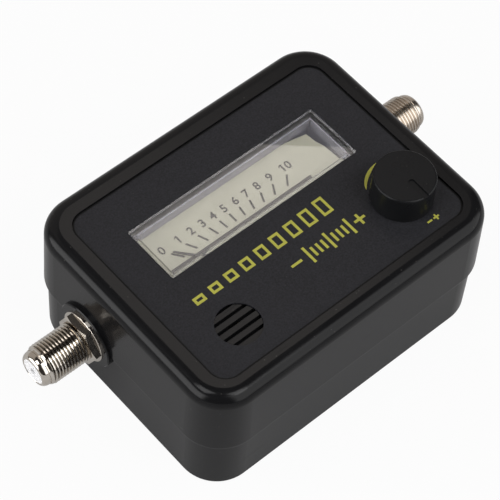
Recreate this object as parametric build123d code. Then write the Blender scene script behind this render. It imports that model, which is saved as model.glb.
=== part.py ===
from build123d import *
import os
from math import cos, radians, sqrt, tan

os.makedirs("parts", exist_ok=True)

# A pocket satellite signal meter, in millimetres. X runs along the reading direction,
# Y towards the back and Z up, with the origin at the centre of the case's underside.

# One overrun lets every cutting tool pass through the face that it opens.
overrun = 1.0

# Case: two moulded shells that meet on a seam at the height of the connectors.
case_length = 81.3
case_width = 62.7
case_height = 35.3
case_corner_radius = 9.9
seam_height_share = 0.4533
upper_draft_deg = 1.45
upper_edge_radius = 3.3
upper_lip_radius = 0.7
upper_wall = 1.9
seam_step = 0.8
lower_wall = 2.0
lower_edge_radius = 0.8
floor_thickness = 2.0
top_thickness = 1.6
inner_edge_radius = 1.2
tongue_height = 1.4
tongue_thickness = 0.75
tongue_clearance = 0.15

# Printed label in its recess, an equal rim inside the case's outline.
label_rim = 5.95
label_corner_radius = 4.1
label_thickness = 0.35
label_offset_x = 0.27
label_offset_y = -0.46
label_sink = 0.4
label_margin = 0.15

# Window over the meter, set back from the label's edge by a share of its width.
window_length = 51.9
window_width = 15.0
window_back_share = 0.1917
window_corner_radius = 0.4

# Sounder grille: the round hole of the label shows slots in the case below it.
grille_front_share = 0.196
grille_radius = 5.6
grille_pitch = 2.02
grille_slot_width = 0.8
grille_slot_count = 5
grille_hole_radius = 5.1
grille_hole_shift = -0.8

# Screw pillars and screws.
pillar_inset = 4.95
upper_pillar_radius = 2.9
lower_pillar_radius = 3.9
screw_radius = 1.45
screw_head_radius = 2.7
screw_head_height = 2.0
screw_length = 18.0
screw_sink = 6.0
screw_well_radius = 3.1
screw_hole_clearance = 0.25
screw_pilot_clearance = 0.05
screw_recess_radius = 1.1
screw_recess_depth = 1.1

# Coaxial connectors, one through each end wall, on the seam.
connector_y = 10.05
thread_radius = 4.7625
seated_thread_relief = 0.2
boss_radius = 8.0
boss_height = 0.75
boss_chamfer = 0.25
pad_depth = 1.5
washer_radius = 6.25
washer_thickness = 0.45
nut_flats = 11.0
nut_thickness = 1.75
nut_chamfer = 0.45
nut_angle_deg = -4.0
thread_clearance = 0.04
barrel_reach = 14.6
nose_length = 2.85
nose_tip_radius = 3.35
nose_crown_radius = 3.92
nose_crown_reach = 0.5
nose_shoulder_radius = 4.2
thread_runout_length = 1.1
thread_runout_radius = 4.4
groove_width = 0.2
groove_radius = 4.08
flange_radius = 6.5
flange_thickness = 2.2
barrel_rear_radius = 4.2
barrel_rear_length = 3.6
barrel_bore_radius = 3.05
mouth_insulator_thickness = 3.0
mouth_inset = 0.1
socket_hole_radius = 0.8
rear_insulator_thickness = 3.0
contact_radius = 1.0
contact_bore_radius = 0.6
contact_bore_depth = 7.0
contact_tail_radius = 0.45
contact_tail_reach = 2.6
contact_bend_radius = 1.2

# Circuit board on four posts.
board_end_clearance = 0.6
board_side_clearance = 1.35
board_thickness = 1.6
board_seam_drop = 5.0
board_corner_radius = 4.0
board_notch_clearance = 0.5
board_post_x_share = 0.6
board_post_inset = 3.2
board_post_radius = 2.4
board_screw_radius = 1.0
board_screw_head_radius = 1.9
board_screw_head_height = 1.3
board_screw_length = 4.5
board_hole_clearance = 0.2
lead_overhang = 1.2
lead_radius = 0.3
lead_hole_clearance = 0.1

# Sensitivity control: a vertical potentiometer with a long shaft and a push-on knob.
control_end_margin = 9.47
control_front_margin = 11.41
control_body_length = 9.8
control_body_width = 11.4
control_body_height = 6.8
control_wall = 1.0
control_plate_thickness = 0.8
collar_radius = 3.5
collar_height = 5.0
shaft_radius = 3.0
shaft_running_clearance = 0.03
shaft_flat_depth = 1.5
shaft_flat_length = 9.0
shaft_hole_clearance = 0.3
guide_radius = 5.2
guide_drop = 5.0
wiper_radius = 3.7
wiper_thickness = 0.8
wiper_gap = 0.35
wiper_contact_radius = 0.35
wiper_contact_reach = 0.24
track_thickness = 0.8
rotor_foot_radius = 2.0
terminal_pitch = 2.5
terminal_width = 0.8
terminal_thickness = 0.3

# Knob.
knob_base_radius = 6.97
knob_top_radius = 6.85
knob_top_above_label = 7.42
knob_gap = 0.35
knob_rim_radius = 0.45
knob_wall = 1.3
knob_top_thickness = 1.6
knob_hub_radius = 4.6
knob_hub_gap = 1.0
knob_fit_clearance = 0.02
pointer_slot_width = 1.5
pointer_slot_depth = 0.35
pointer_slot_start = 2.1
knob_pointer_deg = -92.0

# Sounder under the grille, in a moulded ring.
sounder_radius = 6.0
sounder_height = 7.0
sounder_wall = 0.8
sounder_clearance = 0.15
sounder_ring_wall = 0.9
sounder_ring_drop = 3.0
sounder_meter_gap = 1.25
sounder_port_radius = 1.2
sounder_disc_radius = 4.9
sounder_disc_thickness = 0.5
sounder_disc_drop = 2.2
sounder_lead_spacing = 5.0
sounder_lead_radius = 0.5

# Meter: a clear cover on a T-shaped tray, with the dial below the window.
meter_side_margin = 1.25
meter_back_margin = 1.3
meter_front_margin = 1.4
meter_corner_radius = 0.8
meter_split_drop = 7.9
meter_tray_drop = 10.3
meter_pit_drop = 19.5
meter_wall = 1.2
meter_floor = 1.6
cover_top_thickness = 0.8
cover_window_thickness = 1.2
cover_proud = 0.15
cover_fit = 0.15
pivot_x_share = -0.063
pivot_front_share = 0.2433
movement_half = 9.9
meter_fan_half = 15.0
meter_fan_length = 9.0
dial_depth = 4.0
dial_thickness = 0.4
dial_left_margin = 0.5
dial_right_margin = 2.2
dial_back_margin = 1.45
dial_front_margin = 0.05
liner_wall = 0.35
liner_clearance = 0.05
dial_bed_wall = 1.0
dial_bed_clearance = 0.2
# Places of the dial's cut back corner, as shares of its width and of its depth.
dial_corner_x_shares = (0.832, 0.97, 0.976, 0.988)
dial_corner_y_shares = (1.0, 0.894, 0.685, 0.548)

# Movement around the pivot.
core_radius = 4.5
core_height = 7.0
core_drop = 14.8
core_post_radius = 0.7
core_post_spread = 3.3
yoke_outer_radius = 8.6
yoke_inner_radius = 6.6
yoke_height = 7.2
yoke_post_radius = 0.8
coil_gap = 0.35
coil_depth = 1.2
coil_breadth = 2.2
former_thickness = 0.3
coil_clearance = 0.5
spindle_radius = 0.5
spindle_tip_radius = 0.2
spindle_tip_length = 0.6
jewel_screw_radius = 1.1
jewel_socket_radius = 0.26
jewel_head_radius = 1.5
jewel_head_height = 0.2
hairspring_height = 0.35
hairspring_strip = 0.14
hairspring_pitch = 0.3
hairspring_inner_radius = 0.95
hairspring_turns = 4
hairspring_peg_radius = 0.35
hairspring_gap = 0.35
pointer_rest_deg = 130.5
pointer_back_gap = 2.66
pointer_hub_radius = 1.5
pointer_hub_thickness = 0.5
pointer_thickness = 0.15
pointer_root_width = 1.1
pointer_tip_width = 0.45
pointer_blade_above_dial = 0.7
pointer_crank_start = 5.4
pointer_crank_run = 1.2
pointer_tail_length = 5.4
balance_radius = 0.75
balance_length = 1.6
bridge_half_length = 8.5
bridge_width = 2.6
bridge_thickness = 0.8
bridge_leg_radius = 0.9
bridge_leg_spread = 7.6
bridge_drop = 0.35
bridge_screw_radius = 0.5
bridge_screw_head_radius = 0.9
bridge_screw_head_height = 0.3
bridge_screw_length = 6.0
meter_pin_radius = 0.5
meter_pin_spread = 12.0

# Parts on the circuit board.
chip_length = 9.8
chip_width = 6.4
chip_height = 3.3
chip_standoff = 0.5
chip_pitch = 2.54
chip_columns = 4
chip_row_spacing = 7.62
chip_leg_width = 0.5
chip_leg_thickness = 0.25
regulator_radius = 2.4
regulator_flat = 1.2
regulator_lead_pitch = 1.2
regulator_height = 4.6
regulator_standoff = 3.0
electrolytic_radius = 2.5
electrolytic_height = 11.0
electrolytic_rim_radius = 0.4
electrolytic_pitch = 6.5
electrolytic_count = 2
ceramic_radius = 2.0
ceramic_thickness = 1.3
ceramic_standoff = 0.6
ceramic_pitch = 4.6
ceramic_count = 4
axial_length = 6.3
axial_radius = 1.1
axial_span = 10.0
axial_pitch = 3.6
axial_gap = 0.1
resistor_count = 4
diode_length = 3.8
diode_radius = 0.8
diode_span = 7.6
diode_count = 2
diode_pitch = 3.2
choke_radius = 2.3
choke_height = 5.5
choke_waist_radius = 1.3
choke_cheek = 0.7

# Places on the board, as shares of its half length and half width; the first of each row.
chip_shares = (0.09, 0.643)
regulator_shares = (0.36, 0.735)
electrolytic_shares = (-0.417, 0.7)
ceramic_shares = (-0.715, 0.11)
resistor_shares = (0.462, 0.037)
diode_shares = (-0.626, -0.165)
choke_shares = (0.805, 0.147)

# Places, heights and half sizes that follow from the sizes above, from the case inwards.
end_wall = case_length / 2
seam_height = case_height * seam_height_share
label_top = case_height - label_sink
recess_floor = label_top - label_thickness
top_underside = recess_floor - top_thickness
lower_length = case_length - 2 * seam_step
lower_width = case_width - 2 * seam_step
upper_inner_length = case_length - 2 * upper_wall
upper_inner_width = case_width - 2 * upper_wall
lower_inner_length = lower_length - 2 * lower_wall
lower_inner_width = lower_width - 2 * lower_wall
pillar_x = lower_inner_length / 2 - pillar_inset
pillar_y = lower_inner_width / 2 - pillar_inset
label_length = case_length - 2 * label_rim
label_width = case_width - 2 * label_rim
label_right = label_offset_x + label_length / 2
label_back = label_offset_y + label_width / 2
label_front = label_offset_y - label_width / 2
window_x = label_offset_x
window_back = label_back - label_width * window_back_share
window_front = window_back - window_width
window_y = (window_back + window_front) / 2

# Connectors.
boss_face = end_wall + boss_height
pad_face = lower_inner_length / 2 - pad_depth
washer_face = boss_face + washer_thickness
nut_face = washer_face + nut_thickness
# The barrel is thinner inside the wall and the nut, as deep as their threads hold it.
seated_radius = thread_radius - seated_thread_relief
barrel_end = end_wall + barrel_reach
nose_start = barrel_end - nose_length
flange_back = pad_face - flange_thickness
barrel_back = flange_back - barrel_rear_length
contact_front = barrel_end - mouth_inset - mouth_insulator_thickness

# Meter.
meter_length = window_length + 2 * meter_side_margin
meter_back = window_back + meter_back_margin
meter_front = window_front - meter_front_margin
meter_split = label_top - meter_split_drop
meter_tray_floor = label_top - meter_tray_drop
meter_pit_floor = label_top - meter_pit_drop
pit_floor_top = meter_pit_floor + meter_floor
cover_top = top_underside
cover_raised_top = recess_floor + cover_proud
dial_top = label_top - dial_depth
dial_bottom = dial_top - dial_thickness
dial_left = window_x - window_length / 2 + dial_left_margin
dial_right = window_x + window_length / 2 - dial_right_margin
dial_back = window_back - dial_back_margin
dial_front = window_front + dial_front_margin
pivot_x = window_x + label_length * pivot_x_share
pivot_y = window_front - label_width * pivot_front_share
core_bottom = label_top - core_drop
coil_inner_radius = core_radius + coil_gap
coil_outer_radius = coil_inner_radius + coil_depth
coil_bottom = core_bottom - coil_clearance - coil_depth
coil_top = core_bottom + core_height + coil_clearance + coil_depth
upper_spring_bottom = coil_top + hairspring_gap
lower_spring_top = coil_bottom - hairspring_gap
lower_spring_bottom = lower_spring_top - hairspring_height
hub_bottom = upper_spring_bottom + hairspring_height + hairspring_gap
hub_top = hub_bottom + pointer_hub_thickness
blade_bottom = dial_top + pointer_blade_above_dial
pointer_length = window_back - pivot_y - pointer_back_gap
bridge_top = cover_top - cover_top_thickness - bridge_drop
bridge_bottom = bridge_top - bridge_thickness
yoke_bottom = core_bottom + (core_height - yoke_height) / 2
yoke_top = yoke_bottom + yoke_height

# Circuit board, control, knob and sounder.
board_top = seam_height - board_seam_drop
board_bottom = board_top - board_thickness
board_length = 2 * (flange_back - board_end_clearance)
board_width = lower_inner_width - 2 * board_side_clearance
board_post_x = board_length / 2 * board_post_x_share
board_post_y = board_width / 2 - board_post_inset
control_x = label_right - control_end_margin
control_y = label_front + control_front_margin
control_plate_bottom = board_top + control_body_height - control_plate_thickness
control_top = board_top + control_body_height
knob_bottom = label_top + knob_gap
knob_top = label_top + knob_top_above_label
shaft_top = knob_top - knob_top_thickness
shaft_hole_radius = shaft_radius + shaft_hole_clearance
sounder_top = top_underside
sounder_bottom = sounder_top - sounder_height
sounder_ring_radius = sounder_radius + sounder_clearance + sounder_ring_wall
grille_x = pivot_x - movement_half - sounder_meter_gap - sounder_ring_radius
grille_y = label_front + label_width * grille_front_share
grille_hole_y = grille_y + grille_hole_shift


def rounded_block(length, width, radius, bottom, top, x=0, y=0):
    """A straight prism over a rectangle with rounded corners."""
    outline = Pos(x, y, bottom) * RectangleRounded(length, width, radius)
    return extrude(outline, top - bottom)


def drafted_block(length, width, radius, bottom, top):
    """A rounded prism whose walls lean in as they rise, as a moulding's walls do."""
    outline = Pos(0, 0, bottom) * RectangleRounded(length, width, radius)
    return extrude(outline, top - bottom, taper=upper_draft_deg)


def rod(radius, bottom, top, x=0, y=0):
    """An upright cylinder."""
    return extrude(Pos(x, y, bottom) * Circle(radius), top - bottom)


def tube(outer, inner, bottom, top, x=0, y=0):
    """An upright tube."""
    return extrude(Pos(x, y, bottom) * (Circle(outer) - Circle(inner)), top - bottom)


def rod_x(radius, start, end, y=0, z=0):
    """A cylinder along X, between two stations."""
    plane = Plane(origin=(start, y, z), x_dir=(0, 1, 0), z_dir=(1, 0, 0))
    return extrude(plane * Circle(radius), end - start)


def turned_x(points, y, z):
    """A piece turned about a line along X, from its half outline of (station, radius)."""
    outline = make_face(Polyline(*[(station, radius, 0) for station, radius in points], close=True))
    return Pos(0, y, z) * revolve(outline, Axis.X)


def turned_z(points, x, y):
    """A piece turned about an upright line, from its half outline of (radius, height)."""
    outline = make_face(Polyline(*[(radius, 0, height) for radius, height in points], close=True))
    return Pos(x, y, 0) * revolve(outline, Axis.Z)


def through(radius, bottom, top, x=0, y=0):
    """A round cutting tool that passes the overrun beyond both heights."""
    return rod(radius, bottom - overrun, top + overrun, x, y)


def both_ends(piece):
    """The piece as modelled on the right-hand end, and its mirror on the left."""
    return {"right": piece, "left": mirror(piece, Plane.YZ)}


def corners(x, y):
    """Four places, one in each quarter."""
    return [(sx * x, sy * y) for sx in (-1, 1) for sy in (-1, 1)]


def row_places(middle, pitch, count):
    """Evenly spaced places about a middle."""
    return [middle + (index - (count - 1) / 2) * pitch for index in range(count)]


def joined(pieces):
    """One solid from pieces that touch or overlap."""
    first, *rest = pieces
    for piece in rest:
        first = first + piece
    return first


def separate(pieces):
    """A group of solids that stay apart, kept in one node."""
    return Compound(children=[solid for piece in pieces for solid in piece.solids()])


def lowest_edges(piece):
    return piece.edges().group_by(Axis.Z)[0]


def highest_edges(piece):
    return piece.edges().group_by(Axis.Z)[-1]


def connector_bosses(start):
    """A round boss on each end wall, from a station inside the wall to the boss's face."""
    boss = rod_x(boss_radius, start, boss_face, connector_y, seam_height)
    boss = chamfer(boss.edges().group_by(Axis.X)[-1], boss_chamfer)
    return list(both_ends(boss).values())


def connector_holes():
    """Holes through both end walls, pads and bosses, a clearance wider than the thread."""
    radius = thread_radius + thread_clearance
    hole = rod_x(radius, pad_face - overrun, boss_face + overrun, connector_y, seam_height)
    return list(both_ends(hole).values())


def half_space(bottom, top):
    """A block that covers the whole case between two heights."""
    return Pos(0, 0, (bottom + top) / 2) * Box(2 * case_length, 2 * case_width, top - bottom)


def grille_slots():
    """Slots through the case top, cut to length by a circle."""
    bottom = top_underside - overrun
    top = recess_floor + overrun
    circle = rod(grille_radius, bottom, top, grille_x, grille_y)
    slots = []
    for place in row_places(grille_y, grille_pitch, grille_slot_count):
        slot = Box(2 * grille_radius, grille_slot_width, top - bottom)
        slots.append(Pos(grille_x, place, (bottom + top) / 2) * slot & circle)
    return slots


def window_opening(bottom, top):
    return rounded_block(
        window_length, window_width, window_corner_radius,
        bottom - overrun, top + overrun, window_x, window_y,
    )


def upper_shell():
    shell = drafted_block(case_length, case_width, case_corner_radius, seam_height, case_height)
    shell = fillet(highest_edges(shell), upper_edge_radius)
    shell = fillet(lowest_edges(shell), upper_lip_radius)
    inner_corner = case_corner_radius - upper_wall
    cavity = drafted_block(
        upper_inner_length, upper_inner_width, inner_corner, seam_height - overrun, top_underside
    )
    shell = shell - fillet(highest_edges(cavity), inner_edge_radius)
    # Pads inside and bosses outside the end walls, cut on the seam.
    keep = half_space(seam_height, case_height)
    for boss in connector_bosses(pad_face):
        shell = shell + (boss & keep)
    for x, y in corners(pillar_x, pillar_y):
        shell = shell + rod(upper_pillar_radius, seam_height, top_underside + overrun, x, y)
    shell = shell + tube(
        sounder_ring_radius, sounder_ring_radius - sounder_ring_wall,
        top_underside - sounder_ring_drop, top_underside, grille_x, grille_y,
    )
    shell = shell + rod(guide_radius, top_underside - guide_drop, top_underside, control_x, control_y)
    # Recess for the label, then everything that passes through the top.
    shell = shell - rounded_block(
        label_length + 2 * label_margin, label_width + 2 * label_margin, label_corner_radius + label_margin,
        recess_floor, case_height + overrun, label_offset_x, label_offset_y,
    )
    shell = shell - window_opening(top_underside, case_height)
    for slot in grille_slots():
        shell = shell - slot
    shell = shell - through(
        shaft_hole_radius, top_underside - guide_drop, case_height, control_x, control_y
    )
    pilot_top = screw_sink + screw_length + overrun
    for x, y in corners(pillar_x, pillar_y):
        shell = shell - rod(screw_radius + screw_pilot_clearance, seam_height - overrun, pilot_top, x, y)
    for hole in connector_holes():
        shell = shell - hole
    return shell


def tongue_block(inset, reach):
    """The upper shell's inner outline drawn in by an inset, to equal heights about the seam."""
    corner = case_corner_radius - upper_wall - inset
    return rounded_block(
        upper_inner_length - 2 * inset, upper_inner_width - 2 * inset, corner,
        seam_height - reach, seam_height + reach,
    )


def lower_shell():
    corner = case_corner_radius - seam_step
    shell = rounded_block(lower_length, lower_width, corner, 0, seam_height)
    shell = fillet(lowest_edges(shell), lower_edge_radius)
    inner_corner = corner - lower_wall
    cavity = rounded_block(
        lower_inner_length, lower_inner_width, inner_corner, floor_thickness, seam_height + overrun
    )
    shell = shell - fillet(lowest_edges(cavity), inner_edge_radius)
    # A tongue on the wall's inner edge locates the upper shell.
    tongue = tongue_block(tongue_clearance, tongue_height)
    tongue = tongue - tongue_block(tongue_clearance + tongue_thickness, tongue_height + overrun)
    gap = rod_x(boss_radius + tongue_clearance, pad_face, boss_face, connector_y, seam_height)
    for side_gap in both_ends(gap).values():
        tongue = tongue - side_gap
    shell = shell + tongue
    keep = half_space(0, seam_height)
    for boss in connector_bosses(pad_face):
        shell = shell + (boss & keep)
    for x, y in corners(pillar_x, pillar_y):
        shell = shell + rod(lower_pillar_radius, 0, seam_height, x, y)
        shell = shell - through(screw_radius + screw_hole_clearance, 0, seam_height, x, y)
        shell = shell - rod(screw_well_radius, -overrun, screw_sink, x, y)
    pilot_radius = board_screw_radius + screw_pilot_clearance
    pilot_bottom = board_top - board_screw_length - screw_pilot_clearance
    for x, y in corners(board_post_x, board_post_y):
        shell = shell + rod(board_post_radius, floor_thickness / 2, board_bottom, x, y)
        shell = shell - rod(pilot_radius, pilot_bottom, board_top, x, y)
    for hole in connector_holes():
        shell = shell - hole
    return shell


def label_panel():
    panel = rounded_block(
        label_length, label_width, label_corner_radius,
        recess_floor, label_top, label_offset_x, label_offset_y,
    )
    panel = panel - window_opening(recess_floor, label_top)
    panel = panel - through(grille_hole_radius, recess_floor, label_top, grille_x, grille_hole_y)
    return panel - through(shaft_hole_radius, recess_floor, label_top, control_x, control_y)


def pan_screw(head_radius, head_height, radius, length, recess_radius, recess_depth):
    """A pan-head screw that points up from its seat, with a square recess for the driver."""
    shank = turned_z([(0, 0), (radius, 0), (radius, length - radius), (0, length)], 0, 0)
    head = rod(head_radius, -head_height, 0)
    head = fillet(lowest_edges(head), head_height / 2)
    recess = extrude(Pos(0, 0, -head_height) * RegularPolygon(recess_radius, 4), recess_depth)
    return shank + head - recess


def case_screws():
    screw = pan_screw(
        screw_head_radius, screw_head_height, screw_radius, screw_length,
        screw_recess_radius, screw_recess_depth,
    )
    return separate([Pos(x, y, screw_sink) * screw for x, y in corners(pillar_x, pillar_y)])


def board_screws():
    screw = pan_screw(
        board_screw_head_radius, board_screw_head_height, board_screw_radius, board_screw_length,
        board_screw_head_radius / 2, board_screw_head_height / 2,
    )
    turned = Rot(180, 0, 0) * screw
    return separate([Pos(x, y, board_top) * turned for x, y in corners(board_post_x, board_post_y)])


def connector_barrel():
    """Turned barrel: rear tube, flange behind the wall, thread with its run-out, groove and nose."""
    groove_start = nose_start + thread_runout_length
    shoulder = groove_start + groove_width
    outline = Polyline(
        (barrel_back, 0), (barrel_back, barrel_rear_radius), (flange_back, barrel_rear_radius),
        (flange_back, flange_radius), (pad_face, flange_radius), (pad_face, seated_radius),
        (nut_face, seated_radius), (nut_face, thread_radius), (nose_start, thread_radius),
        (groove_start, thread_runout_radius), (groove_start, groove_radius), (shoulder, groove_radius),
        (shoulder, nose_shoulder_radius),
    )
    nose = ThreePointArc(
        (shoulder, nose_shoulder_radius), (barrel_end - nose_crown_reach, nose_crown_radius),
        (barrel_end, nose_tip_radius),
    )
    front = Polyline((barrel_end, nose_tip_radius), (barrel_end, 0), (barrel_back, 0))
    body = revolve(make_face(outline + nose + front), Axis.X)
    bore = turned_x(
        [(barrel_back - overrun, 0), (barrel_back - overrun, barrel_bore_radius),
         (barrel_end + overrun, barrel_bore_radius), (barrel_end + overrun, 0)], 0, 0
    )
    return Pos(0, connector_y, seam_height) * (body - bore)


def thread_hole(radius):
    """A hole round the barrel, a clearance wider than the length that passes it."""
    return rod_x(radius + thread_clearance, boss_face - overrun, nut_face + overrun, connector_y, seam_height)


def connector_nut():
    """Hexagon nut with both faces' corners turned off."""
    plane = Plane(origin=(washer_face, connector_y, seam_height), x_dir=(0, 1, 0), z_dir=(1, 0, 0))
    corner_radius = nut_flats / 2 / cos(radians(30))
    hexagon = RegularPolygon(corner_radius, 6, rotation=nut_angle_deg)
    nut = extrude(plane * hexagon, nut_thickness)
    slope = nut_chamfer * tan(radians(60))
    crown = turned_x(
        [(washer_face, 0), (washer_face, corner_radius), (nut_face - nut_chamfer, corner_radius),
         (nut_face, corner_radius - slope), (nut_face, 0)], connector_y, seam_height
    )
    return (nut & crown) - thread_hole(seated_radius)


def connector_washer():
    washer = rod_x(washer_radius, boss_face, washer_face, connector_y, seam_height)
    washer = fillet(washer.edges().group_by(Axis.X)[-1], washer_thickness / 3)
    return washer - thread_hole(thread_radius)


def mouth_insulator():
    disc = rod_x(barrel_bore_radius, contact_front, barrel_end - mouth_inset, connector_y, seam_height)
    return disc - rod_x(socket_hole_radius, contact_front - overrun, barrel_end, connector_y, seam_height)


def rear_insulator():
    front = barrel_back + rear_insulator_thickness
    bead = rod_x(barrel_bore_radius, barrel_back, front, connector_y, seam_height)
    return bead - rod_x(contact_radius, barrel_back - overrun, front + overrun, connector_y, seam_height)


def contact_tail_x():
    return barrel_back - contact_tail_reach


def connector_contact():
    """Socket tube with a tail that bends down to the circuit board."""
    socket = rod_x(contact_radius, barrel_back, contact_front, connector_y, seam_height)
    socket = socket - rod_x(
        contact_bore_radius, contact_front - contact_bore_depth, barrel_end, connector_y, seam_height
    )
    path = FilletPolyline(
        (barrel_back + overrun, connector_y, seam_height), (contact_tail_x(), connector_y, seam_height),
        (contact_tail_x(), connector_y, board_bottom - lead_overhang), radius=contact_bend_radius,
    )
    start_plane = Plane(origin=path @ 0, z_dir=path % 0)
    return socket + sweep(start_plane * Circle(contact_tail_radius), path=path)


def pair(x, y, spread):
    """Two places either side of x."""
    return [(x - spread / 2, y), (x + spread / 2, y)]


def on_board(shares):
    """A place on the board, from its shares of the half length and of the half width."""
    return board_length / 2 * shares[0], board_width / 2 * shares[1]


def row_along_y(shares, pitch, count):
    x, y = on_board(shares)
    return [(x, y + index * pitch) for index in range(count)]


def chip_leg_places():
    chip_x, chip_y = on_board(chip_shares)
    return [
        (x, y) for x in row_places(chip_x, chip_pitch, chip_columns)
        for y in row_places(chip_y, chip_row_spacing, 2)
    ]


def regulator_lead_places():
    middle, y = on_board(regulator_shares)
    return [(x, y) for x in row_places(middle, regulator_lead_pitch, 3)]


def terminal_places():
    return [(x, terminal_y()) for x in row_places(control_x, terminal_pitch, 3)]


def electrolytic_places():
    first, y = on_board(electrolytic_shares)
    return [(first + index * electrolytic_pitch, y) for index in range(electrolytic_count)]


def ceramic_places():
    return row_along_y(ceramic_shares, ceramic_pitch, ceramic_count)


def resistor_places():
    return row_along_y(resistor_shares, axial_pitch, resistor_count)


def diode_places():
    return row_along_y(diode_shares, diode_pitch, diode_count)


def sounder_lead_places():
    return pair(grille_x, grille_y, sounder_lead_spacing)


def meter_pin_places():
    return pair(pivot_x, meter_pin_y(), meter_pin_spread)


def board_holes():
    """Every hole for a lead in the circuit board, as its place and its radius."""
    groups = [
        (pair(0, connector_y, 2 * contact_tail_x()), contact_tail_radius),
        (meter_pin_places(), meter_pin_radius),
        (sounder_lead_places(), sounder_lead_radius),
        (terminal_places(), terminal_width / 2),
        (chip_leg_places(), chip_leg_width / 2),
        (regulator_lead_places(), lead_radius),
        (pair(*on_board(choke_shares), 2 * choke_waist_radius), lead_radius),
    ]
    for places, spread in (
        (electrolytic_places(), electrolytic_radius), (ceramic_places(), ceramic_radius),
        (resistor_places(), axial_span), (diode_places(), diode_span),
    ):
        groups.extend((pair(x, y, spread), lead_radius) for x, y in places)
    return [(x, y, radius + lead_hole_clearance) for places, radius in groups for x, y in places]


def meter_pin_y():
    return pivot_y + movement_half - meter_wall - meter_pin_radius


def terminal_y():
    return control_y + control_body_width / 2 + terminal_thickness


def circuit_board():
    board = rounded_block(board_length, board_width, board_corner_radius, board_bottom, board_top)
    # Each corner is cut away around its pillar.
    reach = lower_pillar_radius + board_notch_clearance
    for x, y in corners(1, 1):
        notch_x = x * (pillar_x - reach + case_length / 2)
        notch_y = y * (pillar_y - reach + case_width / 2)
        board = board - Pos(notch_x, notch_y, board_bottom) * Box(case_length, case_width, case_height)
    for x, y in corners(board_post_x, board_post_y):
        board = board - through(board_screw_radius + board_hole_clearance, board_bottom, board_top, x, y)
    for x, y, radius in board_holes():
        board = board - through(radius, board_bottom, board_top, x, y)
    return board


def lead(x, y, top, radius=lead_radius):
    """A straight tinned lead from a part's body down through the board."""
    return rod(radius, board_bottom - lead_overhang, top, x, y)


def control_block(bottom, top):
    """The control's rectangular plan between two heights."""
    middle = (bottom + top) / 2
    return Pos(control_x, control_y, middle) * Box(control_body_length, control_body_width, top - bottom)


def cup_radius():
    return control_body_length / 2 - control_wall


def cup_floor():
    return board_top + control_wall


def wiper_bottom():
    return cup_floor() + track_thickness + wiper_gap


def terminal_y():
    return control_y + control_body_width / 2 + terminal_thickness


def pot_housing():
    """Moulded cup that holds the resistive track and the wiper."""
    return control_block(board_top, control_plate_bottom) - rod(
        cup_radius(), cup_floor(), control_top, control_x, control_y
    )


def pot_bushing():
    """Die-cast top plate and collar that guide the shaft."""
    collar_top = control_top + collar_height
    collar = rod(collar_radius, control_top, collar_top, control_x, control_y)
    collar = chamfer(highest_edges(collar), control_plate_thickness / 3)
    hole_radius = shaft_radius + shaft_running_clearance
    hole = through(hole_radius, control_plate_bottom, collar_top, control_x, control_y)
    return control_block(control_plate_bottom, control_top) + collar - hole


def pot_track():
    """Round resistive track on the floor of the cup, open where its ends meet the terminals."""
    top = cup_floor() + track_thickness
    radius = cup_radius()
    track = tube(radius - wiper_gap, radius / 2, cup_floor(), top, control_x, control_y)
    return track - Pos(control_x, control_y + radius, top) * Box(radius / 2, 2 * radius, 3 * track_thickness)


def pot_terminals():
    """Three flat legs up the back of the housing."""
    foot = board_bottom - lead_overhang
    height = cup_floor() + lead_overhang - foot
    leg = Box(terminal_width, 2 * terminal_thickness, height)
    return separate([Pos(x, y, foot + height / 2) * leg for x, y in terminal_places()])


def pot_wiper():
    """Rotor disc with a sprung contact just above the track."""
    top = wiper_bottom() + wiper_thickness
    disc = rod(wiper_radius, wiper_bottom(), top, control_x, control_y)
    hole = through(rotor_foot_radius, wiper_bottom(), top, control_x, control_y)
    contact_y = control_y - (rotor_foot_radius + wiper_radius) / 2
    contact = rod(wiper_contact_radius, wiper_bottom() - wiper_contact_reach, top, control_x, contact_y)
    return disc - hole + contact


def pot_shaft():
    """Long shaft: a reduced foot in the rotor, the running length, and a flat for the knob."""
    rotor_top = wiper_bottom() + wiper_thickness
    shaft = rod(shaft_radius, rotor_top, shaft_top) + rod(rotor_foot_radius, wiper_bottom(), rotor_top)
    shaft = shaft - Pos(0, 2 * shaft_radius - shaft_flat_depth, shaft_top) * Box(
        4 * shaft_radius, 2 * shaft_radius, 2 * shaft_flat_length
    )
    return Pos(control_x, control_y) * Rot(0, 0, knob_turn()) * shaft


def knob_turn():
    """Angle from the front, where the knob is modelled, to where its pointer stands."""
    return knob_pointer_deg + 90


def knob():
    """Hollow moulded knob: tapered skirt, rounded rim, D-bored hub and pointer slot."""
    underside = knob_top - knob_top_thickness
    body = turned_z(
        [(0, knob_bottom), (knob_base_radius, knob_bottom), (knob_top_radius, knob_top), (0, knob_top)], 0, 0
    )
    body = fillet(highest_edges(body), knob_rim_radius)
    body = body - turned_z(
        [(0, knob_bottom - overrun), (knob_base_radius - knob_wall, knob_bottom - overrun),
         (knob_top_radius - knob_wall, underside), (0, underside)], 0, 0
    )
    body = body + rod(knob_hub_radius, knob_bottom + knob_hub_gap, underside)
    flat_y = shaft_radius - shaft_flat_depth + knob_fit_clearance
    socket = Circle(shaft_radius + knob_fit_clearance)
    socket = socket - Pos(0, flat_y + shaft_radius) * Rectangle(4 * shaft_radius, 2 * shaft_radius)
    body = body - extrude(Pos(0, 0, knob_bottom) * socket, shaft_top - knob_bottom)
    slot_bottom = knob_top - pointer_slot_depth
    slot = rod(pointer_slot_width / 2, slot_bottom, knob_top + overrun, 0, -pointer_slot_start)
    slot = slot + Pos(0, -pointer_slot_start - knob_top_radius / 2, knob_top) * Box(
        pointer_slot_width, knob_top_radius, 2 * pointer_slot_depth
    )
    return Pos(control_x, control_y) * Rot(0, 0, knob_turn()) * (body - slot)


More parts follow.
